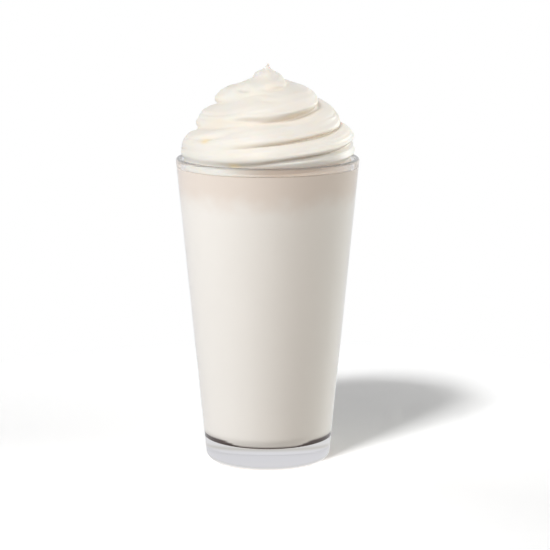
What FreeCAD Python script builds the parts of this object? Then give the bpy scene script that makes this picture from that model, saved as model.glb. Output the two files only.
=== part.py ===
import FreeCAD, Part
import math
import os
import Sketcher

# White chocolate frappe in a tumbler: a thick-bottomed glass, the drink, the
# foamy layer on it, and the whipped cream piped on top as a two-ribbed swirl.
# Millimetres, +Z up, origin at the middle of the glass's underside.

SPLINE_DEGREE = 3
EDGE_TOLERANCE = 0.01
FLAT_TOLERANCE = 0.001

doc = FreeCAD.newDocument("Frappe")
sheet = doc.addObject("Spreadsheet::Sheet", "Sizes")

DRIVING_SIZES = [
    # the glass
    ("glass_height", 149.2),
    ("rim_diameter", 88.9),
    ("base_diameter", 60.3),
    ("rim_wall", 2.6),
    ("base_wall", 4.0),
    ("floor_thickness", 10.7),
    ("heel_radius", 4.4),
    ("bowl_radius", 7.0),
    ("rim_rounding", 1.2),
    # the drink and its foam
    ("fill_drop", 4.4),
    ("foam_depth", 13.8),
    ("contact_gap", 0.05),
    # the whipped cream
    ("cream_height", 50.0),
    ("cream_turns", 2.6667),
    ("cream_ribs", 2),
    ("climb_power", 1.34),
    ("crease_start", 0.6),
    ("shoulder", 0.1),
    ("dome_power", 1.25),
    ("shelf_sharpness", 3.2),
    ("rib_fade_turns", 0.5),
    ("rim_clearing", 5.0),
    ("tip_fade", 0.2),
    ("lip_swell", 1.0),
    ("lip_droop", 0.5),
    ("lip_growth", 0.45),
    ("lip_tail", 1.2),
    ("crease_cut", 2.0),
    ("crease_narrowness", 8),
    ("front_sag", 2.2),
    ("side_rise", 2.8),
    ("smooth_side", 228.0),
    ("smooth_share", 0.6),
    ("smooth_narrowness", 12),
    ("wander", 0.4),
    ("wander_lobes", 3),
    ("wander_twist", 5.0),
    ("tip_radius", 0.6),
    ("tip_lean", 1.2),
    ("net_columns", 24),
]
DERIVED_SIZES = [
    ("rim_radius", "=rim_diameter / 2"),
    ("base_radius", "=base_diameter / 2"),
    ("inner_rim_radius", "=rim_radius - rim_wall"),
    ("inner_taper", "=(inner_rim_radius - base_radius + base_wall) / glass_height"),
    ("floor_radius", "=base_radius - base_wall + inner_taper * floor_thickness"),
    ("fill_height", "=glass_height - fill_drop"),
    ("foam_height", "=fill_height - foam_depth"),
    ("drink_floor", "=floor_thickness + contact_gap"),
    ("drink_floor_radius", "=floor_radius - contact_gap"),
    ("drink_top_radius", "=base_radius - base_wall + inner_taper * foam_height - contact_gap"),
    ("fill_radius", "=base_radius - base_wall + inner_taper * fill_height - contact_gap"),
    ("drink_corner_radius", "=bowl_radius - contact_gap"),
]
for row, (alias, value) in enumerate(DRIVING_SIZES + DERIVED_SIZES, start=1):
    sheet.set("A%d" % row, alias)
    sheet.set("B%d" % row, str(value))
    sheet.setAlias("B%d" % row, alias)
doc.recompute()


def size(alias):
    """Value of a size in the sheet, in mm, turns or a plain number."""
    return float(sheet.get(alias))


def origin_plane(body, role):
    for feature in body.Origin.OriginFeatures:
        if feature.Role == role:
            return feature
    raise ValueError("no origin plane " + role)


def turned_body(label, corners):
    """Body turned about Z from a closed outline of (radius, height) aliases; None is zero."""
    body = doc.addObject("PartDesign::Body", label)
    body.Label = label
    sketch = body.newObject("Sketcher::SketchObject", label + "_profile")
    sketch.AttachmentSupport = (origin_plane(body, "XZ_Plane"), [""])
    sketch.MapMode = "FlatFace"
    places = []
    for radius, height in corners:
        x = size(radius) if radius else 0.0
        y = size(height) if height else 0.0
        places.append(FreeCAD.Vector(x, y, 0))
    count = len(places)
    for i in range(count):
        sketch.addGeometry(Part.LineSegment(places[i], places[(i + 1) % count]), False)
    for i in range(count):
        sketch.addConstraint(Sketcher.Constraint("Coincident", i, 2, (i + 1) % count, 1))
    for i, (radius, height) in enumerate(corners):
        if radius:
            bind_distance(sketch, "DistanceX", i, places[i].x, radius)
        else:
            sketch.addConstraint(Sketcher.Constraint("PointOnObject", i, 1, -2))
        if height:
            bind_distance(sketch, "DistanceY", i, places[i].y, height)
        else:
            sketch.addConstraint(Sketcher.Constraint("PointOnObject", i, 1, -1))
    turn = body.newObject("PartDesign::Revolution", label + "_turned")
    turn.Profile = sketch
    turn.ReferenceAxis = (sketch, ["V_Axis"])
    turn.Angle = 360.0
    body.Tip = turn
    doc.recompute()
    return body


def bind_distance(sketch, kind, index, value, alias):
    """Distance of an outline's corner from the axis or the ground, driven by the sheet."""
    constraint = Sketcher.Constraint(kind, -1, 1, index, 1, value)
    number = sketch.addConstraint(constraint)
    sketch.setExpression("Constraints[%d]" % number, "Sizes." + alias)


def round_ring(body, name, radius_alias, rings):
    """Fillet on the circular edges of the body found at the given (radius, height) places."""
    base = body.Tip
    found = []
    for number, edge in enumerate(base.Shape.Edges, start=1):
        if not isinstance(edge.Curve, Part.Circle):
            continue
        for radius, height in rings:
            near_radius = abs(edge.Curve.Radius - radius) < EDGE_TOLERANCE
            near_height = abs(edge.Curve.Center.z - height) < EDGE_TOLERANCE
            if near_radius and near_height:
                found.append("Edge%d" % number)
    fillet = body.newObject("PartDesign::Fillet", name)
    fillet.Base = (base, found)
    fillet.setExpression("Radius", "Sizes." + radius_alias)
    body.Tip = fillet
    doc.recompute()


def make_glass():
    """Tumbler: straight tapered wall, heavy floor, rounded heel, bowl corner and rim."""
    glass = turned_body("glass", [
        (None, None),
        ("base_radius", None),
        ("rim_radius", "glass_height"),
        ("inner_rim_radius", "glass_height"),
        ("floor_radius", "floor_thickness"),
        (None, "floor_thickness"),
    ])
    height = size("glass_height")
    floor = size("floor_thickness")
    round_ring(glass, "heel", "heel_radius", [(size("base_radius"), 0.0)])
    round_ring(glass, "bowl_corner", "bowl_radius", [(size("floor_radius"), floor)])
    rim_rings = [(size("rim_radius"), height), (size("inner_rim_radius"), height)]
    round_ring(glass, "rim", "rim_rounding", rim_rings)
    return glass


def make_drink():
    """The drink up to its foam, with the rounded bottom of the glass's bowl."""
    drink = turned_body("drink", [
        (None, "drink_floor"),
        ("drink_floor_radius", "drink_floor"),
        ("drink_top_radius", "foam_height"),
        (None, "foam_height"),
    ])
    ring = (size("drink_floor_radius"), size("drink_floor"))
    round_ring(drink, "drink_corner", "drink_corner_radius", [ring])
    return drink


def make_foam():
    """The foamy layer between the drink and the whipped cream."""
    return turned_body("foam_layer", [
        (None, "foam_height"),
        ("drink_top_radius", "foam_height"),
        ("fill_radius", "fill_height"),
        (None, "fill_height"),
    ])


def smooth_rise(x):
    """0 below 0, 1 above 1 and a smooth ramp between."""
    x = min(max(x, 0.0), 1.0)
    return x * x * (3.0 - 2.0 * x)


def lip_shape(q):
    """Outward bulge of a rib, 0 at the crease below it (q = 0) and at the one above (q = 1).

    It leaves the lower crease as a full lip and comes back in as a long shelf."""
    growth = size("lip_growth")
    tail = size("lip_tail")
    crest = growth / (growth + tail)
    return (q / crest) ** growth * ((1.0 - q) / (1.0 - crest)) ** tail


def rib_depth(turn, azimuth):
    """How far the ribs stand out, 0 to 1: less at the fill line, the tip and one smoother side."""
    depth = smooth_rise(turn / size("rib_fade_turns"))
    depth *= smooth_rise((1.0 - turn / size("cream_turns")) / size("tip_fade"))
    away = abs(math.cos(0.5 * (azimuth - math.radians(size("smooth_side")))))
    return depth * (1.0 - size("smooth_share") * away ** size("smooth_narrowness"))


def dome_radius(turn):
    """Radius of the dome that the swirl climbs, from the fill line up to the tip."""
    climb = (max(turn, 0.0) / size("cream_turns")) ** size("climb_power")
    inward = max(climb - size("shoulder"), 0.0) / (1.0 - size("shoulder"))
    narrowing = math.cos(0.5 * math.pi * min(inward, 1.0)) ** size("dome_power")
    return size("tip_radius") + (size("fill_radius") - size("tip_radius")) * narrowing


def cream_point(turn, angle):
    """Point of the cream `turn` turns up the swirl and `angle` turns round from the front.

    The creases climb round a dome as helices. Above a crease the dome first rises
    straight up and then runs in as a shelf to the next crease. The ribs swell
    outwards only above the glass's rim."""
    ribs = size("cream_ribs")
    azimuth = 2.0 * math.pi * (angle - 0.25)
    climb = (turn / size("cream_turns")) ** size("climb_power")
    depth = rib_depth(turn, azimuth)

    since_crease = ribs * (turn - size("crease_start") - angle)
    q = since_crease - math.floor(since_crease)
    stepped = turn - depth * (q - q ** size("shelf_sharpness")) / ribs
    lip = depth * lip_shape(q)
    crease = depth * abs(1.0 - 2.0 * q) ** size("crease_narrowness")
    wander = size("wander") * depth

    width = dome_radius(turn) / size("fill_radius")
    settled = smooth_rise(turn / size("rib_fade_turns"))
    height = size("fill_height") + size("cream_height") * climb
    height += size("side_rise") * settled * (1.0 - climb) * width * math.cos(azimuth)
    height += size("front_sag") * math.sin(math.pi * climb) ** 2 * width * math.sin(azimuth)
    height -= size("lip_droop") * lip * (1.0 - q) ** 2
    height += wander * math.cos(2.0 * azimuth)

    over_rim = smooth_rise((height - size("glass_height")) / size("rim_clearing"))
    radius = dome_radius(stepped) - size("crease_cut") * crease
    radius += over_rim * size("lip_swell") * lip
    wave = size("wander_lobes") * azimuth + size("wander_twist") * climb
    radius += over_rim * wander * math.sin(wave)
    x = radius * math.cos(azimuth) - size("tip_lean") * climb ** 4
    y = radius * math.sin(azimuth)
    return FreeCAD.Vector(x, y, height)


def make_cream():
    """Whipped cream: one spline face round the swirl, closed flat at the fill line and the tip.

    The net has as many rows for a turn of climb as columns round, so that every
    column meets the creases at the same places of its rows. A closed spline runs
    inside its net by spline_share, so the net is that much wider."""
    columns = int(size("net_columns"))
    rows = int(round(size("cream_turns") * columns))
    turns = size("cream_turns")
    spline_share = (2.0 + math.cos(2.0 * math.pi / columns)) / 3.0
    net = []
    for i in range(rows + 1):
        ring = [cream_point(turns * i / rows, j / columns) for j in range(columns)]
        net.append([point.scale(1.0 / spline_share, 1.0 / spline_share, 1.0) for point in ring])
    spans = rows + 1 - SPLINE_DEGREE
    surface = Part.BSplineSurface()
    surface.buildFromPolesMultsKnots(
        net,
        [SPLINE_DEGREE + 1] + [1] * (spans - 1) + [SPLINE_DEGREE + 1],
        [1] * (columns + 1),
        [i / spans for i in range(spans + 1)],
        [j / columns for j in range(columns + 1)],
        False,
        True,
        SPLINE_DEGREE,
        SPLINE_DEGREE,
    )
    side = surface.toShape()
    ends = []
    for edge in side.Edges:
        if edge.BoundBox.ZLength < FLAT_TOLERANCE:
            ends.append(Part.Face(Part.Wire([edge])))
    shell = Part.Shell([side] + ends)
    shell.sewShape()
    solid = Part.Solid(shell)
    if solid.Volume < 0:
        solid.reverse()
    cream = doc.addObject("Part::Feature", "whipped_cream")
    cream.Label = "whipped_cream"
    cream.Shape = solid
    cream.Placement = FreeCAD.Placement()
    return cream


parts = [make_glass(), make_drink(), make_foam(), make_cream()]
doc.recompute()

for item in doc.Objects:
    if "Invalid" in item.State or "Error" in item.State:
        raise ValueError(item.Name + " did not build")
os.makedirs("parts", exist_ok=True)
for item in parts:
    if item.Shape.isNull() or not item.Shape.isValid():
        raise ValueError(item.Label + " has no valid shape")
    item.Shape.exportStep("parts/" + item.Label + ".step")
    print(item.Label, "volume %.1f ml" % (item.Shape.Volume / 1000.0), item.Shape.BoundBox)
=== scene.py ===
"""White chocolate frappe: glass, drink, foam and swirled whipped cream, on a white table.

Lengths are in metres unless a name ends in _mm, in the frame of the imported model:
+Z up, -Y towards the camera, origin under the middle of the glass."""

import math

import bmesh
import bpy
import numpy as np
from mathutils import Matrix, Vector


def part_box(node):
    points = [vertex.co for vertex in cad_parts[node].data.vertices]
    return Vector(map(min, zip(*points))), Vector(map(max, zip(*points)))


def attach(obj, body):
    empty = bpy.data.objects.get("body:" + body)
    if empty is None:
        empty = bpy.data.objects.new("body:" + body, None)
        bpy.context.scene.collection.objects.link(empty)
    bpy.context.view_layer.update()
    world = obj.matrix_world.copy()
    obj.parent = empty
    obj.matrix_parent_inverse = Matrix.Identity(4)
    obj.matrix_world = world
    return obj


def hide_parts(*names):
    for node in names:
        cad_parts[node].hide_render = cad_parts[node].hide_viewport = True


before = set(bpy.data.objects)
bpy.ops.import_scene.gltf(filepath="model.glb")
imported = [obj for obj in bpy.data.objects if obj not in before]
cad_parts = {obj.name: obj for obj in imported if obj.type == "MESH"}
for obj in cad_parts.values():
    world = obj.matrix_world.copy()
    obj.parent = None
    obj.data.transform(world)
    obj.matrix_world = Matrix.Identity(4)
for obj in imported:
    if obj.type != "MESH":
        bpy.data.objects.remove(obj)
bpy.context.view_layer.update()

MM = 0.001
BODY = "root"

_, GLASS_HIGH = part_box("glass")
DRINK_LOW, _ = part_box("drink")
FOAM_LOW, FOAM_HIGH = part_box("foam_layer")
CREAM_LOW, CREAM_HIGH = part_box("whipped_cream")

# The glass, as in the part.
RIM_RADIUS = 44.45 * MM
BASE_RADIUS = 30.15 * MM
RIM_WALL = 2.6 * MM
BASE_WALL = 4.0 * MM
HEEL_RADIUS = 4.4 * MM
BOWL_RADIUS = 7.0 * MM
RIM_ROUNDING = 1.2 * MM
CONTACT_GAP = 0.05 * MM
GLASS_HEIGHT = GLASS_HIGH.z
FLOOR_HEIGHT = DRINK_LOW.z - CONTACT_GAP
INNER_TAPER = (RIM_RADIUS - RIM_WALL - BASE_RADIUS + BASE_WALL) / GLASS_HEIGHT

# The drink and the foam on it, and the meshes turned about Z.
FOAM_HEIGHT = FOAM_LOW.z
FILL_HEIGHT = FOAM_HIGH.z
WALL_OVERLAP = 0.15 * MM      # how far the contents reach into the glass wall
LATHE_SEGMENTS = 192
ARC_STEPS = 10                # pieces of each rounded corner
SHARP_ANGLE = math.radians(35)
ON_AXIS = 1e-9

# Looks of the glass.
GLASS_IOR = 1.5
SHADOW_TINT = (0.985, 0.985, 0.985, 1)        # what the glass lets through to a shadow
ABSORPTION_COLOR = (0.55, 0.55, 0.60, 1)
ABSORPTION_DENSITY = 2.5
# Painted shade in the rim's colour, standing in for the darker room seen in it; strongest at both
# sides.
RIM_PAINTED_SHADE = (0.06, 0.085, 0.12, 1)
RIM_PAINTED_SHADE_DEPTH = 1.5 * MM
RIM_PAINTED_SHADE_FRONT = 0.72                        # its share at the front and the back
RIM_SIDE_FROM = 0.72 * RIM_RADIUS             # it grows to full towards both sides
RIM_SIDE_FULL = 0.96 * RIM_RADIUS
GLASS_FLOOR_PAINTED_GLOW_SHARE = 0.85
GLOW_EDGE = 1.0 * MM
GLASS_FLOOR_PAINTED_GLOW = [                                # painted glow in the glass's floor, from its underside up, with a painted tan line across it
    (0.00, (0.700, 0.697, 0.725, 1)),
    (0.20, (0.700, 0.697, 0.725, 1)),
    (0.34, (0.545, 0.525, 0.480, 1)),
    (0.48, (0.730, 0.722, 0.720, 1)),
]

# Looks of the drink and the foam.
DRINK_COLOR = (0.94, 0.885, 0.815, 1)
FOAM_COLOR = (0.86, 0.75, 0.655, 1)
FOAM_UNEVEN = 12.0 * MM       # how far the foam's lower edge wanders up and down
FOAM_BLEND = 7.5 * MM         # half the height over which foam turns into drink
CLOUD_SCALE = 90              # of the noise that moves that edge
LIQUID_ROUGHNESS = 0.6
# Painted dark line at the drink's bottom edge, standing in for what the thick glass makes of it.
PAINTED_LINE_COLOR = (0.10, 0.07, 0.06, 1)
LINE_HEIGHT = 1.25 * MM       # height of the painted dark line at the drink's bottom edge
SIDE_LINE_HEIGHT = 2.3 * MM   # how much taller it is at both sides
LINE_SIDE = (0.50, 0.80)      # how far round to the side it grows
LINE_FULL = 0.7               # share of its height where it is full
# Painted glow on the drink's flat underside, standing in for light from the glass's floor.
PAINTED_UNDERSIDE_GLOW = (0.66, 0.62, 0.58, 1)
UNDERSIDE_DEPTH = 0.05 * MM

# Looks of the cream.
CREAM_TINTS = [(0.3, (0.785, 0.735, 0.657, 1)), (0.7, (0.795, 0.756, 0.692, 1))]
# Painted beige shade in the creases and folds.
CREASE_PAINTED_SHADE = (0.79, 0.68, 0.54, 1)
# Painted shade on the cream below the rim, away from the light; it also darkens the tip's end.
PAINTED_DARKENING_COLOR = (0.56, 0.45, 0.36, 1)
WARM_COLOR = (0.82, 0.68, 0.44, 1)
TINT_SCALE = 45
CREAM_ROUGHNESS = 0.45
CREAM_SPECULAR = 0.3
CREAM_SUBSURFACE = 0.3
CREAM_SCATTER = (3.5 * MM, 2.4 * MM, 1.5 * MM)
GRAIN_SCALE = 700
GRAIN_STRENGTH = 0.08
GRAIN_DEPTH = 0.3 * MM

# The cream's swirl, as in the part.
CREAM_HEIGHT = CREAM_HIGH.z - CREAM_LOW.z
CREAM_TURNS = 2.6667
CREAM_RIBS = 2
CLIMB_POWER = 1.34
CREASE_START = 0.6
FRONT_TURN = 0.25             # creases start in front, a quarter turn before azimuth 0
FRONT_SAG = 2.2 * MM
SIDE_RISE = 2.8 * MM

# What is worked into the cream: lips, creases and fine ridges along its ribs.
# Places and widths are shares of the way between two creases. Each drift is a seed, the
# most waves round the cream and how far they may climb; a fine ridge brings its own seed.
WELD_DISTANCE = 0.001 * MM
CREAM_VOXEL = 0.5 * MM
RELAX_SHARE = 0.5
RELAX_STEPS = 3
DRIFT_WAVES = 5
DRIFT_SCALE = 3.0
LIP_PLACE = 0.27
LIP_WIDTH = 0.15
LIP_RELIEF = 0.75 * MM
LIP_UNEVEN = 0.35
LIP_STEADY = 0.3              # share of the lip that stays where its crease fades
LIP_DRIFT = (3, 4, 9.0)
CREASE_WIDTH = 0.08
CREASE_RELIEF = 1.1 * MM
CREASE_SHARPNESS = 0.88
CREASE_UNEVEN = 0.35
CREASE_LEAST = 0.45
CREASE_DRIFT = (5, 3, 8.0)
FILL_WIDTH = 0.13
CREASE_FILL = 1.4 * MM        # what fills a crease that has run out
SHADE_WIDTH = 0.19            # painted shade above the crease, under the lip
SHADE_BELOW = (0.5, 0.06)     # share and width of that painted shade below the crease
SLOW_RELIEF = 0.85 * MM       # bumps that wander over all of it
SLOW_DRIFT = (11, 5, 14.0)
RIDGE_WIDTH = 0.05
RIDGE_GAP = 0.1               # from a fine ridge to the groove beside it
RIDGE_WANDER = 0.06
RIDGE_WANDER_DRIFT = (3, 7.0)
RIDGE_STRENGTH = 0.5
RIDGE_UNEVEN = 0.9
RIDGE_DRIFT = (3, 11.0)
RIDGE_SEED = 50               # added to a ridge's seed for its strength
FINE_RIDGES = [               # seed, place between two creases, height
    (21, 0.36, 0.20 * MM),
    (22, 0.55, 0.30 * MM),
    (23, 0.74, 0.22 * MM),
]
RELIEF_FROM = 1.0 * MM        # heights below and above the rim over which relief begins
RELIEF_FULL = 5.0 * MM
TIP_SMOOTH = (0.84, 0.93)     # climb over which the relief ends
SMOOTH_SIDE = math.radians(228)
SMOOTH_SHARE = 0.6            # how much of the relief is gone at the smooth side
SMOOTH_POWER = 12             # the higher, the narrower that side

# Where the ribs have run together: under the peak, and low on the left.
MERGED_SIDE = math.radians(-115)
MERGED_CLIMB = (0.56, 0.64)
MERGED_WIDTH = 0.50
LOW_MERGED_SIDE = math.radians(-165)
LOW_MERGED_CLIMB = (0.26, 0.33)
LOW_MERGED_WIDTH = 0.42
MERGED_CREASES = 0.9          # share of the creases, and of the ridges, that is gone there
MERGED_RIDGES = 0.8

# Short folds and warm spots.
FOLDS = [                     # place in degrees, height, length, slope, width, depth
    (-137, 161.3 * MM, 10.0 * MM, 0.22, 1.3 * MM, 1.3 * MM),
    (-136, 182.6 * MM, 3.6 * MM, -0.10, 1.1 * MM, 1.1 * MM),
    (-75, 183.2 * MM, 6.0 * MM, 0.0, 1.3 * MM, 1.4 * MM),
    (-88, 178.1 * MM, 3.5 * MM, 0.05, 0.7 * MM, 0.4 * MM),
    (-111, 169.2 * MM, 9.0 * MM, 0.03, 1.1 * MM, 1.0 * MM),
]
FOLD_LIP = 0.5                # height of the lip over a fold, as a share of its depth
FOLD_LIP_PLACE = 1.7          # and how far above it, in widths
# share of painted shade deep in a fold
FOLD_PAINTED_SHADE = 0.15
WARM_SPOTS = [                # place in degrees, height, width, strength
    (-140, 159.6 * MM, 2.6 * MM, 1.0),
    (-112, 149.7 * MM, 3.2 * MM, 1.0),
    (-137, 168.6 * MM, 8.0 * MM, 0.18),
]
SPOT_FLATNESS = 0.35          # height of a warm spot over its width

# How the cream draws in: beside the wall, at its middle tier, and at its peak and tip.
WALL_SPACE = 0.9 * MM
WALL_SPACE_RADIUS = 4.0 * WALL_SPACE          # nearer the axis than this it shrinks
WALL_SPACE_TOP = (-0.5 * MM, 2.5 * MM)        # heights over the rim where the space ends
WALL_SPACE_BOTTOM = 1.2 * MM
TIER_PINCH = 0.042
TIER_HEIGHT = 168.5 * MM
TIER_DEPTH = 4.5 * MM
TIER_SIDE = 0.5               # how much stronger it is on the right
PEAK_PINCH = 0.19
PEAK_HEIGHT = 188.2 * MM
PEAK_DEPTH = 3.2 * MM
TIP_LENGTH = 5.0 * MM
TIP_FULL = 0.3                # share of the tip that is as thin as it gets
TIP_PINCH = 0.6
TIP_CURL = 0.6 * MM

# Painted shade on the cream below the rim, on the side away from the light.
LIGHT_SIDE = math.radians(-160)
PAINTED_SHADE_SIDE = (0.30, 0.61)
PAINTED_SHADE_EDGE = 1.0 * MM
WISP_SHARE = 0.7              # the last of the tip looks darker too
WISP_FROM = 2.6 * MM
WISP_FULL = 0.9 * MM

# Lamps.
KEY_PLACE = Vector((-0.250, -0.516, 0.800))
KEY_SIZE = (0.14, 0.14)
KEY_POWER = 3.95
LEFT_PLACE = Vector((-1.12, -0.40, 0.24))
LEFT_SIZE = (1.0, 0.44)
LEFT_POWER = 8.0
LEFT_COLOR = (0.93, 0.965, 1.0)
RIGHT_PLACE = Vector((0.88, 0.50, 0.22))
RIGHT_POWER = 6.0
RIGHT_COLOR = (0.90, 0.98, 1.0)
CREAM_FILL_PLACE = Vector((0.85, -0.55, 0.72))
CREAM_FILL_POWER = 6.2
WARM_FILL_PLACE = Vector((0.80, -0.65, 0.25))
WARM_FILL_POWER = 1.7
WARM_FILL_COLOR = (1.0, 0.90, 0.76)
FILL_SIZE = (0.7, 0.40)       # the right panel and both fills

# The table and the world.
WHITE = (1, 1, 1, 1)
TABLE_REACH = 6.0
TABLE_DROP = 0.05 * MM        # how far it lies below the glass
FLOOR_COLOR = (0.72, 0.72, 0.72, 1)
FLOOR_SEEN = 1.80             # floor colour that the camera sees under the key light
FLOOR_FALLOFF = 3.0           # power of distance by which that evens out
FLOOR_IN_GLASS = (0.80, 0.80, 0.82, 1)
BACKDROP_FROM = 0.17          # distance over which the table turns into a white backdrop
BACKDROP_FULL = 0.27
AMBIENT = 0.185
ROOM_FROM = 0.35              # upward slope of view at which the room overhead begins
ROOM_FULL = 0.65
ROOM_COLOR = (0.10, 0.13, 0.18, 1)

# Camera.
CAMERA_DISTANCE = 1.022
CAMERA_HEIGHT = 0.277
CAMERA_PITCH = math.radians(10.3)
CAMERA_SIDE = 3.55 * MM
CAMERA_REACH = 20
CAMERA_LENS_MM = 139.3
SENSOR_MM = 36


# ---------------------------------------------------------------- materials

class Nodes:
    """Small helper that adds and links shader nodes."""

    def __init__(self, owner):
        owner.use_nodes = True
        self.tree = owner.node_tree
        self.tree.nodes.clear()

    def add(self, kind, **values):
        node = self.tree.nodes.new("ShaderNode" + kind)
        for name, value in values.items():
            setattr(node, name, value)
        return node

    def link(self, source, target):
        self.tree.links.new(source, target)

    def feed(self, value, target):
        """Links a socket to the target, or sets a number or colour on it."""
        if isinstance(value, bpy.types.NodeSocket):
            self.link(value, target)
        else:
            target.default_value = value

    def math(self, operation, *values):
        node = self.add("Math", operation=operation)
        for value, target in zip(values, node.inputs):
            self.feed(value, target)
        return node.outputs["Value"]

    def rise(self, value, low, high, smooth=True, to_low=0.0, to_high=1.0):
        """Rises from to_low to to_high while the value goes from low to high."""
        kind = "SMOOTHSTEP" if smooth else "LINEAR"
        node = self.add("MapRange", interpolation_type=kind)
        self.link(value, node.inputs["Value"])
        node.inputs["From Min"].default_value = low
        node.inputs["From Max"].default_value = high
        node.inputs["To Min"].default_value = to_low
        node.inputs["To Max"].default_value = to_high
        return node.outputs["Result"]

    def mix_colors(self, factor, low, high):
        node = self.add("Mix", data_type="RGBA")
        self.feed(factor, node.inputs["Factor"])
        self.feed(low, node.inputs["A"])
        self.feed(high, node.inputs["B"])
        return node.outputs["Result"]

    def mix_shaders(self, factor, low, high):
        node = self.add("MixShader")
        self.link(factor, node.inputs["Fac"])
        self.link(low, node.inputs[1])
        self.link(high, node.inputs[2])
        return node.outputs["Shader"]

    def color_ramp(self, factor, stops):
        node = self.add("ValToRGB")
        elements = node.color_ramp.elements
        while len(elements) < len(stops):
            elements.new(1.0)
        for element, (position, color) in zip(elements, stops):
            element.position = position
            element.color = color
        self.link(factor, node.inputs["Fac"])
        return node.outputs["Color"]

    def attribute(self, name):
        return self.add("Attribute", attribute_name=name).outputs["Fac"]

    def noise(self, scale, detail, roughness=0.5):
        place = self.add("TexCoord")
        texture = self.add("TexNoise")
        texture.inputs["Scale"].default_value = scale
        texture.inputs["Detail"].default_value = detail
        texture.inputs["Roughness"].default_value = roughness
        self.link(place.outputs["Object"], texture.inputs["Vector"])
        return texture.outputs["Fac"]

    def place_parts(self, space="Object"):
        """The parts X, Y and Z of the place, or of the direction seen in the world."""
        place = self.add("TexCoord")
        split = self.add("SeparateXYZ")
        self.link(place.outputs[space], split.inputs["Vector"])
        return split.outputs

    def emission(self, color):
        node = self.add("Emission")
        self.feed(color, node.inputs["Color"])
        return node.outputs["Emission"]

    def any_ray(self, *kinds):
        """1 for rays of any of the given kinds."""
        path = self.add("LightPath")
        result = path.outputs[f"Is {kinds[0]} Ray"]
        for kind in kinds[1:]:
            result = self.math("MAXIMUM", result, path.outputs[f"Is {kind} Ray"])
        return result


def new_material(name):
    """A material, its nodes and its output node."""
    material = bpy.data.materials.new(name)
    nodes = Nodes(material)
    return material, nodes, nodes.add("OutputMaterial")


def cream_material():
    """Whipped cream: warm white, with painted beige shade in the creases and folds, and a fine
    whipped grain.
    """
    material, nodes, output = new_material("whipped_cream_satin")
    shader = nodes.add("BsdfPrincipled")
    nodes.link(shader.outputs["BSDF"], output.inputs["Surface"])
    color = nodes.color_ramp(nodes.noise(TINT_SCALE, detail=4), CREAM_TINTS)
    # painted shade in the creases and folds
    color = nodes.mix_colors(nodes.attribute("depth"), color, CREASE_PAINTED_SHADE)
    # painted shade below the rim, away from the light, and the darker tip's end
    color = nodes.mix_colors(nodes.attribute("painted_darkening"), color, PAINTED_DARKENING_COLOR)
    color = nodes.mix_colors(nodes.attribute("warm"), color, WARM_COLOR)
    nodes.link(color, shader.inputs["Base Color"])
    shader.inputs["Roughness"].default_value = CREAM_ROUGHNESS
    shader.inputs["Specular IOR Level"].default_value = CREAM_SPECULAR
    shader.inputs["Subsurface Weight"].default_value = CREAM_SUBSURFACE
    shader.inputs["Subsurface Radius"].default_value = CREAM_SCATTER
    shader.inputs["Subsurface Scale"].default_value = 1.0
    grain = nodes.add("Bump")
    grain.inputs["Strength"].default_value = GRAIN_STRENGTH
    grain.inputs["Distance"].default_value = GRAIN_DEPTH
    nodes.link(nodes.noise(GRAIN_SCALE, detail=5, roughness=0.6), grain.inputs["Height"])
    nodes.link(grain.outputs["Normal"], shader.inputs["Normal"])
    return material


def liquid_material(name):
    """Drink and foam: milky, warmer towards the top, where the foam is."""
    material, nodes, output = new_material(name)
    shader = nodes.add("BsdfPrincipled")
    nodes.link(shader.outputs["BSDF"], output.inputs["Surface"])
    cloud = nodes.noise(CLOUD_SCALE, detail=2)
    uneven = nodes.math("MULTIPLY_ADD", cloud, FOAM_UNEVEN, nodes.place_parts()["Z"])
    edge = FOAM_HEIGHT + 0.5 * FOAM_UNEVEN
    blend = nodes.rise(uneven, edge - FOAM_BLEND, edge + FOAM_BLEND)
    color = nodes.color_ramp(blend, [(0.0, DRINK_COLOR), (1.0, FOAM_COLOR)])
    # painted dark line at the drink's bottom edge
    color = nodes.mix_colors(nodes.attribute("painted_bottom_line"), color, PAINTED_LINE_COLOR)
    nodes.link(color, shader.inputs["Base Color"])
    shader.inputs["Roughness"].default_value = LIQUID_ROUGHNESS
    shader.inputs["Specular IOR Level"].default_value = 0.0
    # painted glow on the drink's flat underside
    shader.inputs["Emission Color"].default_value = PAINTED_UNDERSIDE_GLOW
    nodes.link(nodes.attribute("underside"), shader.inputs["Emission Strength"])
    return material


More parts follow.
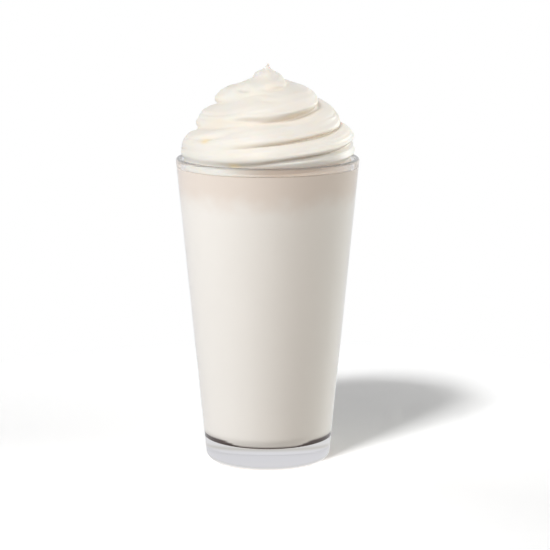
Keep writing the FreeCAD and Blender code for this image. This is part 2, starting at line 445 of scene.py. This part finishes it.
def glass_material():
    """Clear tumbler glass; lamp light passes through it.

    Its rim has painted shade that stands in for the darker room seen in it, and its thick floor
    has a painted glow, an emission that stands in for even light from the white table."""
    material, nodes, output = new_material("tumbler_glass")
    place = nodes.place_parts()
    glass = nodes.add("BsdfPrincipled")
    # Painted shade at the top of the rim, more at both sides.
    at_rim = nodes.rise(place["Z"], GLASS_HEIGHT - RIM_PAINTED_SHADE_DEPTH, GLASS_HEIGHT)
    sideways = nodes.math("ABSOLUTE", place["X"])
    at_side = nodes.rise(sideways, RIM_SIDE_FROM, RIM_SIDE_FULL, to_low=RIM_PAINTED_SHADE_FRONT)
    painted_shade = nodes.mix_colors(nodes.math("MULTIPLY", at_rim, at_side), WHITE, RIM_PAINTED_SHADE)
    nodes.link(painted_shade, glass.inputs["Base Color"])
    glass.inputs["Transmission Weight"].default_value = 1.0
    glass.inputs["IOR"].default_value = GLASS_IOR
    glass.inputs["Roughness"].default_value = 0.0

    # Painted glow inside the glass's thick floor, an emission that stands in for light from the
    # white table.
    level = nodes.rise(place["Z"], 0.0, FLOOR_HEIGHT, smooth=False)
    painted_glow = nodes.emission(nodes.color_ramp(level, GLASS_FLOOR_PAINTED_GLOW))
    in_floor = nodes.rise(
        place["Z"], FLOOR_HEIGHT, FLOOR_HEIGHT - GLOW_EDGE, smooth=False, to_high=GLASS_FLOOR_PAINTED_GLOW_SHARE
    )
    geometry = nodes.add("NewGeometry")
    inside = nodes.math("MULTIPLY", in_floor, geometry.outputs["Backfacing"])
    body = nodes.mix_shaders(inside, glass.outputs["BSDF"], painted_glow)

    clear = nodes.add("BsdfTransparent")
    clear.inputs["Color"].default_value = SHADOW_TINT
    lighting = nodes.any_ray("Shadow", "Diffuse")
    surface = nodes.mix_shaders(lighting, body, clear.outputs["BSDF"])
    nodes.link(surface, output.inputs["Surface"])
    absorption = nodes.add("VolumeAbsorption")
    absorption.inputs["Color"].default_value = ABSORPTION_COLOR
    absorption.inputs["Density"].default_value = ABSORPTION_DENSITY
    nodes.link(absorption.outputs["Volume"], output.inputs["Volume"])
    return material


def floor_material():
    """Pale table that looks white where it is lit, however far off, and keeps the shadow.

    Glass and gloss see it evenly bright, as part of the white surroundings. Further off,
    the camera sees it turn into a white backdrop."""
    material, nodes, output = new_material("pale_table")
    shader = nodes.add("BsdfDiffuse")
    place = nodes.add("TexCoord").outputs["Object"]
    from_key = nodes.add("VectorMath", operation="DISTANCE")
    nodes.link(place, from_key.inputs[0])
    from_key.inputs[1].default_value = KEY_PLACE
    ratio = nodes.math("DIVIDE", from_key.outputs["Value"], KEY_PLACE.length)
    falloff = nodes.math("POWER", ratio, FLOOR_FALLOFF)
    seen = nodes.math("MULTIPLY", nodes.math("MAXIMUM", falloff, 1.0), FLOOR_SEEN)
    by_camera = nodes.any_ray("Camera")
    nodes.link(nodes.mix_colors(by_camera, FLOOR_COLOR, seen), shader.inputs["Color"])

    through = nodes.any_ray("Glossy", "Transmission")
    even = nodes.emission(FLOOR_IN_GLASS)
    shown = nodes.mix_shaders(through, shader.outputs["BSDF"], even)
    distance = nodes.add("VectorMath", operation="LENGTH")
    nodes.link(place, distance.inputs[0])
    far = nodes.rise(distance.outputs["Value"], BACKDROP_FROM, BACKDROP_FULL)
    backdrop = nodes.math("MULTIPLY", far, by_camera)
    surface = nodes.mix_shaders(backdrop, shown, nodes.emission(WHITE))
    nodes.link(surface, output.inputs["Surface"])
    return material


# ---------------------------------------------------------------- shared mesh helpers

def ramp(value, low, high):
    """0 below low, 1 above high and a smooth rise between."""
    share = np.clip((value - low) / (high - low), 0.0, 1.0)
    return share * share * (3.0 - 2.0 * share)


def bell(value, width):
    return np.exp(-(value / width) ** 2)


def side_bell(azimuth, side, width):
    """1 on the given side of the part, less the further round it a point is."""
    return bell(np.sin(0.5 * (azimuth - side)), width)


def read_vectors(items, name):
    """One row of X, Y and Z for each vertex or normal of a mesh."""
    values = np.empty(len(items) * 3)
    items.foreach_get(name, values)
    return values.reshape(-1, 3)


def set_attribute(mesh, name, values):
    attribute = mesh.attributes.new(name, "FLOAT", "POINT")
    attribute.data.foreach_set("value", values.astype(np.float32))


def new_object(name, mesh, material):
    piece = bpy.data.objects.new(name, mesh)
    bpy.context.scene.collection.objects.link(piece)
    piece.data.materials.clear()
    piece.data.materials.append(material)
    return piece


# ---------------------------------------------------------------- glass, drink and foam

def rounded_outline(corners):
    """Outline of (radius, height) points with each corner's fillet drawn as an arc."""
    outline = []
    for i, (x, z, fillet) in enumerate(corners):
        corner = np.array((x, z))
        if not fillet:
            outline.append(corner)
            continue
        before = np.array(corners[i - 1][:2]) - corner
        after = np.array(corners[(i + 1) % len(corners)][:2]) - corner
        before /= np.linalg.norm(before)
        after /= np.linalg.norm(after)
        half = 0.5 * math.acos(float(np.dot(before, after)))
        middle = (before + after) / np.linalg.norm(before + after)
        center = corner + middle * fillet / math.sin(half)
        start = corner + before * fillet / math.tan(half) - center
        end = corner + after * fillet / math.tan(half) - center
        sweep = math.pi - 2.0 * half
        for step in range(ARC_STEPS + 1):
            share = step / ARC_STEPS
            blend = start * math.sin((1.0 - share) * sweep) + end * math.sin(share * sweep)
            outline.append(center + blend / math.sin(sweep))
    return outline


def turned_mesh(name, corners):
    """Closed mesh turned about Z; the outline's first and last corners are on the axis."""
    outline = rounded_outline(corners)
    bm = bmesh.new()
    rings = []
    for x, z in outline:
        if x < ON_AXIS:
            rings.append([bm.verts.new((0.0, 0.0, z))])
            continue
        ring = []
        for i in range(LATHE_SEGMENTS):
            angle = 2.0 * math.pi * i / LATHE_SEGMENTS
            ring.append(bm.verts.new((x * math.cos(angle), x * math.sin(angle), z)))
        rings.append(ring)
    for low, high in zip(rings, rings[1:]):
        for i in range(LATHE_SEGMENTS):
            j = (i + 1) % LATHE_SEGMENTS
            if len(low) == 1:
                bm.faces.new((low[0], high[j], high[i]))
            elif len(high) == 1:
                bm.faces.new((low[i], low[j], high[0]))
            else:
                bm.faces.new((low[i], low[j], high[j], high[i]))
    bmesh.ops.recalc_face_normals(bm, faces=bm.faces)
    mesh = bpy.data.meshes.new(name)
    bm.to_mesh(mesh)
    bm.free()
    mesh.shade_smooth()
    mesh.set_sharp_from_angle(angle=SHARP_ANGLE)
    return mesh


def inner_radius(height):
    """Radius of the glass's bore at a height, leaving out its bowl corner."""
    return BASE_RADIUS - BASE_WALL + INNER_TAPER * height


def glass_mesh(name):
    return turned_mesh(name, [
        (0.0, 0.0, 0.0),
        (BASE_RADIUS, 0.0, HEEL_RADIUS),
        (RIM_RADIUS, GLASS_HEIGHT, RIM_ROUNDING),
        (RIM_RADIUS - RIM_WALL, GLASS_HEIGHT, RIM_ROUNDING),
        (inner_radius(FLOOR_HEIGHT), FLOOR_HEIGHT, BOWL_RADIUS),
        (0.0, FLOOR_HEIGHT, 0.0),
    ])


def fill_mesh(name, low, high, rounding=0.0):
    """What fills the glass between two heights, reaching a little into its wall."""
    return turned_mesh(name, [
        (0.0, low, 0.0),
        (inner_radius(low) + WALL_OVERLAP, low, rounding),
        (inner_radius(high) + WALL_OVERLAP, high, 0.0),
        (0.0, high, 0.0),
    ])


def drink_mesh(name):
    low = FLOOR_HEIGHT - WALL_OVERLAP
    mesh = fill_mesh(name, low, FOAM_HEIGHT, BOWL_RADIUS + WALL_OVERLAP)
    mark_bottom_line(mesh)
    return mesh


def foam_mesh(name):
    return fill_mesh(name, FOAM_HEIGHT, FILL_HEIGHT)


def mark_bottom_line(mesh):
    """Painted dark line that stands in for what the thick glass makes of the drink's bottom edge,
    taller at both sides, and a painted glow on the flat underside, standing in for light in the
    glass's floor."""
    x, y, z = read_vectors(mesh.vertices, "co").T
    sideways = np.abs(x) / np.maximum(np.hypot(x, y), MM)
    reach = LINE_HEIGHT + SIDE_LINE_HEIGHT * ramp(sideways, *LINE_SIDE)
    above = z - FLOOR_HEIGHT
    line = 1.0 - ramp(above, LINE_FULL * reach, reach)
    flat = 1.0 - ramp(above, 0.0, UNDERSIDE_DEPTH)
    set_attribute(mesh, "painted_bottom_line", line * (1.0 - flat))
    set_attribute(mesh, "underside", flat)


# ---------------------------------------------------------------- whipped cream

def even_cream(name):
    """The CAD swirl remeshed evenly, so that folds can be worked into it."""
    source = bpy.data.objects.new(name + "_source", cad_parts["whipped_cream"].data.copy())
    bpy.context.scene.collection.objects.link(source)
    bm = bmesh.new()
    bm.from_mesh(source.data)
    bmesh.ops.remove_doubles(bm, verts=bm.verts, dist=WELD_DISTANCE)
    bm.to_mesh(source.data)
    bm.free()
    remesh = source.modifiers.new("even", "REMESH")
    remesh.mode = "VOXEL"
    remesh.voxel_size = CREAM_VOXEL
    remesh.use_smooth_shade = True
    relax = source.modifiers.new("relax", "SMOOTH")
    relax.factor = RELAX_SHARE
    relax.iterations = RELAX_STEPS
    bpy.context.view_layer.update()
    depsgraph = bpy.context.evaluated_depsgraph_get()
    mesh = bpy.data.meshes.new_from_object(source.evaluated_get(depsgraph))
    mesh.name = name
    bpy.data.objects.remove(source)
    return mesh


def swirl_place(x, y, z):
    """Azimuth, climb (0 to 1) and place between two creases (0 to 1) of points of the cream."""
    azimuth = np.arctan2(y, x)
    climb = np.clip((z - FILL_HEIGHT) / CREAM_HEIGHT, 0.0, 1.0)
    bore = inner_radius(FILL_HEIGHT)
    tilt = SIDE_RISE * (1.0 - climb) * x / bore
    tilt += FRONT_SAG * np.sin(math.pi * climb) ** 2 * y / bore
    climb = np.clip((z - FILL_HEIGHT - tilt) / CREAM_HEIGHT, 0.0, 1.0)
    turn = CREAM_TURNS * climb ** (1.0 / CLIMB_POWER)
    angle = azimuth / (2.0 * math.pi) + FRONT_TURN
    between = (CREAM_RIBS * (turn - CREASE_START - angle)) % 1.0
    return azimuth, climb, between


def drift(azimuth, climb, seed, around, up):
    """Smooth unevenness, mostly from -1 to 1, that wanders round and up the swirl."""
    random = np.random.default_rng(seed)
    total = np.zeros_like(azimuth)
    for _ in range(DRIFT_WAVES):
        turns = random.integers(1, around + 1)
        rise = random.uniform(-up, up)
        phase = random.uniform(0.0, 2.0 * math.pi)
        total += np.sin(turns * azimuth + rise * climb + phase)
    return total / DRIFT_SCALE


def merged_share(azimuth, climb):
    """How far the ribs have run together, 0 to 1: under the peak, and low on the left."""
    high = ramp(climb, *MERGED_CLIMB) * side_bell(azimuth, MERGED_SIDE, MERGED_WIDTH)
    low = 1.0 - ramp(climb, *LOW_MERGED_CLIMB)
    low *= side_bell(azimuth, LOW_MERGED_SIDE, LOW_MERGED_WIDTH)
    return np.maximum(high, low)


def crease_strength(azimuth, climb):
    """How sharp the creases are, 0 to 1: they come and go, and fade where the ribs merge."""
    strength = CREASE_SHARPNESS + CREASE_UNEVEN * drift(azimuth, climb, *CREASE_DRIFT)
    strength = np.clip(strength, CREASE_LEAST, 1.0)
    return strength * (1.0 - MERGED_CREASES * merged_share(azimuth, climb))


def rib_relief(azimuth, climb, between):
    """Outward relief of the ribs: an overhanging lip, a sharp crease and finer ridges."""
    wander = drift(azimuth, climb, *LIP_DRIFT)
    lip = bell(between - LIP_PLACE, LIP_WIDTH) * (1.0 + LIP_UNEVEN * wander)
    from_crease = np.minimum(between, 1.0 - between)
    strength = crease_strength(azimuth, climb)
    relief = LIP_RELIEF * lip * (LIP_STEADY + (1.0 - LIP_STEADY) * strength)
    relief -= CREASE_RELIEF * bell(from_crease, CREASE_WIDTH) * strength
    relief += CREASE_FILL * bell(from_crease, FILL_WIDTH) * (1.0 - strength)
    apart = 1.0 - MERGED_RIDGES * merged_share(azimuth, climb)
    for seed, place, height in FINE_RIDGES:
        here = place + RIDGE_WANDER * drift(azimuth, climb, seed, *RIDGE_WANDER_DRIFT)
        uneven = RIDGE_UNEVEN * drift(azimuth, climb, seed + RIDGE_SEED, *RIDGE_DRIFT)
        strength = np.clip(RIDGE_STRENGTH + uneven, 0.0, 1.0)
        ridge = bell(between - here, RIDGE_WIDTH)
        groove = bell(between - here - RIDGE_GAP, RIDGE_WIDTH)
        relief += apart * height * strength * (ridge - groove)
    return relief


def fold_shapes(azimuth, radius, height):
    """Short soft folds in the ribs: how far each point sinks, and how much painted shade it gets
    in a fold.
    """
    sink = np.zeros_like(azimuth)
    deep = np.zeros_like(azimuth)
    for place, level, length, slope, width, depth in FOLDS:
        along = (azimuth - math.radians(place)) * radius
        across = height - level - slope * along
        extent = bell(along, length)
        groove = bell(across, width)
        lip = bell(across - FOLD_LIP_PLACE * width, width)
        sink += depth * extent * (groove - FOLD_LIP * lip)
        deep += FOLD_PAINTED_SHADE * extent * groove
    return sink, deep


def relief_extent(climb, height):
    """1 from above the rim to below the tip, where relief is worked in."""
    above_rim = ramp(height, GLASS_HEIGHT - RELIEF_FROM, GLASS_HEIGHT + RELIEF_FULL)
    return above_rim * (1.0 - ramp(climb, *TIP_SMOOTH))


def relief_share(azimuth, climb, height):
    """How much of the relief there is, 0 to 1: least on the smooth side."""
    away = np.abs(np.cos(0.5 * (azimuth - SMOOTH_SIDE)))
    smooth = SMOOTH_SHARE * away ** SMOOTH_POWER
    return relief_extent(climb, height) * (1.0 - smooth)


def draw_in(points, azimuth):
    """Draws the cream in beside the wall, at its middle tier, and at its peak and tip."""
    # Inside the glass the cream stands in a little from the wall.
    top_low, top_high = WALL_SPACE_TOP
    inside = 1.0 - ramp(points[:, 2], GLASS_HEIGHT + top_low, GLASS_HEIGHT + top_high)
    inside *= ramp(points[:, 2], FILL_HEIGHT, FILL_HEIGHT + WALL_SPACE_BOTTOM)
    radius = np.hypot(points[:, 0], points[:, 1])
    squeeze = 1.0 - inside * WALL_SPACE / np.maximum(radius, WALL_SPACE_RADIUS)
    points[:, :2] *= squeeze[:, None]

    # The middle tier draws in a little, most on the right.
    tier = bell(points[:, 2] - TIER_HEIGHT, TIER_DEPTH) * (1.0 + TIER_SIDE * np.cos(azimuth))
    points[:, :2] *= (1.0 - TIER_PINCH * tier)[:, None]

    # The peak is narrow below its tip, and the last of the tip is drawn out thin and curls over.
    pinch = PEAK_PINCH * bell(points[:, 2] - PEAK_HEIGHT, PEAK_DEPTH)
    points[:, :2] *= (1.0 - pinch)[:, None]
    tip_from = CREAM_HIGH.z - TIP_LENGTH
    drawn = ramp(points[:, 2], tip_from, CREAM_HIGH.z - TIP_FULL * TIP_LENGTH)
    points[:, :2] *= (1.0 - TIP_PINCH * drawn)[:, None]
    points[:, 0] += TIP_CURL * drawn


def painted_darkening_share(azimuth, height):
    """How much painted shade the cream gets below the rim, away from the light, and how dark the
    tip's end is.
    """
    painted_darkening = 1.0 - ramp(height, GLASS_HEIGHT - PAINTED_SHADE_EDGE, GLASS_HEIGHT + PAINTED_SHADE_EDGE)
    painted_darkening *= ramp(np.abs(np.sin(0.5 * (azimuth - LIGHT_SIDE))), *PAINTED_SHADE_SIDE)
    wisp = WISP_SHARE * ramp(height, CREAM_HIGH.z - WISP_FROM, CREAM_HIGH.z - WISP_FULL)
    return np.maximum(painted_darkening, wisp)


def warm_share(azimuth, radius, height):
    """Warm light that shines through the thin parts of the ribs, as soft spots."""
    warm = np.zeros_like(azimuth)
    for place, level, width, strength in WARM_SPOTS:
        along = (azimuth - math.radians(place)) * radius
        warm += strength * bell(along, width) * bell(height - level, SPOT_FLATNESS * width)
    return np.clip(warm, 0.0, 1.0)


def cream_mesh(name):
    """Whipped cream with its ribs, creases, folds and a thin curled tip worked in."""
    mesh = even_cream(name)
    points = read_vectors(mesh.vertices, "co")
    normals = read_vectors(mesh.vertex_normals, "vector")
    azimuth, climb, between = swirl_place(*points.T)
    depth = relief_share(azimuth, climb, points[:, 2])
    relief = depth * rib_relief(azimuth, climb, between)
    slow = drift(azimuth, climb, *SLOW_DRIFT)
    relief += relief_extent(climb, points[:, 2]) * SLOW_RELIEF * slow
    radius = np.hypot(points[:, 0], points[:, 1])
    sink, painted_fold_shade = fold_shapes(azimuth, radius, points[:, 2])
    points += normals * (relief - sink)[:, None]
    radius = np.hypot(points[:, 0], points[:, 1])
    draw_in(points, azimuth)
    mesh.vertices.foreach_set("co", points.ravel())
    mesh.update()

    # Painted shade in the creases, mostly under the lips, and in the folds.
    share_below, width_below = SHADE_BELOW
    painted_shade = bell(between, SHADE_WIDTH) + share_below * bell(1.0 - between, width_below)
    deep = depth * crease_strength(azimuth, climb) * np.clip(painted_shade, 0.0, 1.0)
    set_attribute(mesh, "depth", np.clip(deep + painted_fold_shade, 0.0, 1.0))
    # painted shade below the rim and the darker tip's end
    set_attribute(mesh, "painted_darkening", painted_darkening_share(azimuth, points[:, 2]))
    set_attribute(mesh, "warm", warm_share(azimuth, radius, points[:, 2]))
    return mesh


# ---------------------------------------------------------------- the scene

glass = new_object("glass_tumbler", glass_mesh("glass_tumbler"), glass_material())
drink = new_object("drink_fill", drink_mesh("drink_fill"), liquid_material("milky_drink"))
foam = new_object("foam_fill", foam_mesh("foam_fill"), liquid_material("warm_foam"))
cream = new_object("cream_swirl", cream_mesh("cream_swirl"), cream_material())

for piece, node, slot in [
    (glass, "glass", "glass"),
    (drink, "drink", "drink"),
    (foam, "foam_layer", "foam"),
    (cream, "whipped_cream", "cream"),
]:
    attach(piece, BODY)
    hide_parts(node)


def make_table():
    mesh = bpy.data.meshes.new("table_top")
    reach = TABLE_REACH
    mesh.from_pydata(
        [(-reach, -reach, 0), (reach, -reach, 0), (reach, reach, 0), (-reach, reach, 0)],
        [],
        [(0, 1, 2, 3)],
    )
    floor = new_object("table_top", mesh, floor_material())
    floor.location.z = -TABLE_DROP
    return floor


def make_lamp(name, place, size, power, pieces, color=(1, 1, 1)):
    """Area lamp aimed at the middle of the part that lights only the given pieces."""
    data = bpy.data.lights.new(name, "AREA")
    data.shape = "RECTANGLE"
    data.size, data.size_y = size
    data.energy = power
    data.color = color
    lamp = bpy.data.objects.new(name, data)
    lamp.location = place
    middle = Vector((0, 0, 0.5 * CREAM_HIGH.z))
    lamp.rotation_euler = (place - middle).to_track_quat("Z", "Y").to_euler()
    bpy.context.scene.collection.objects.link(lamp)
    group = bpy.data.collections.new(name + "_lit")
    for piece in pieces:
        group.objects.link(piece)
    lamp.light_linking.receiver_collection = group


def make_world():
    """Soft even light. The camera sees plain white; glass also sees the darker room overhead."""
    world = bpy.data.worlds.new("studio")
    bpy.context.scene.world = world
    nodes = Nodes(world)
    output = nodes.add("OutputWorld")
    background = nodes.add("Background")
    as_backdrop = nodes.any_ray("Camera", "Glossy", "Transmission")
    strength = nodes.rise(as_backdrop, 0.0, 1.0, smooth=False, to_low=AMBIENT)
    nodes.link(strength, background.inputs["Strength"])
    overhead = nodes.rise(nodes.place_parts("Generated")["Z"], ROOM_FROM, ROOM_FULL)
    through = nodes.any_ray("Glossy", "Transmission")
    in_glass = nodes.math("MULTIPLY", overhead, through)
    color = nodes.mix_colors(in_glass, WHITE, ROOM_COLOR)
    nodes.link(color, background.inputs["Color"])
    nodes.link(background.outputs["Background"], output.inputs["Surface"])


def make_camera():
    data = bpy.data.cameras.new("camera")
    data.sensor_width = SENSOR_MM
    data.lens = CAMERA_LENS_MM
    data.clip_end = CAMERA_REACH
    camera = bpy.data.objects.new("camera", data)
    camera.location = (CAMERA_SIDE, -CAMERA_DISTANCE, CAMERA_HEIGHT)
    camera.rotation_euler = (math.pi / 2 - CAMERA_PITCH, 0, 0)
    bpy.context.scene.collection.objects.link(camera)
    bpy.context.scene.camera = camera


contents = [drink, foam, cream]
table = make_table()
make_lamp("key", KEY_PLACE, KEY_SIZE, KEY_POWER, contents + [table])
make_lamp("left_panel", LEFT_PLACE, LEFT_SIZE, LEFT_POWER, contents, LEFT_COLOR)
make_lamp("right_panel", RIGHT_PLACE, FILL_SIZE, RIGHT_POWER, contents, RIGHT_COLOR)
make_lamp("cream_fill", CREAM_FILL_PLACE, FILL_SIZE, CREAM_FILL_POWER, [cream])
make_lamp("warm_fill", WARM_FILL_PLACE, FILL_SIZE, WARM_FILL_POWER, [drink, foam], WARM_FILL_COLOR)
make_world()
make_camera()
bpy.context.scene.view_settings.view_transform = "Standard"
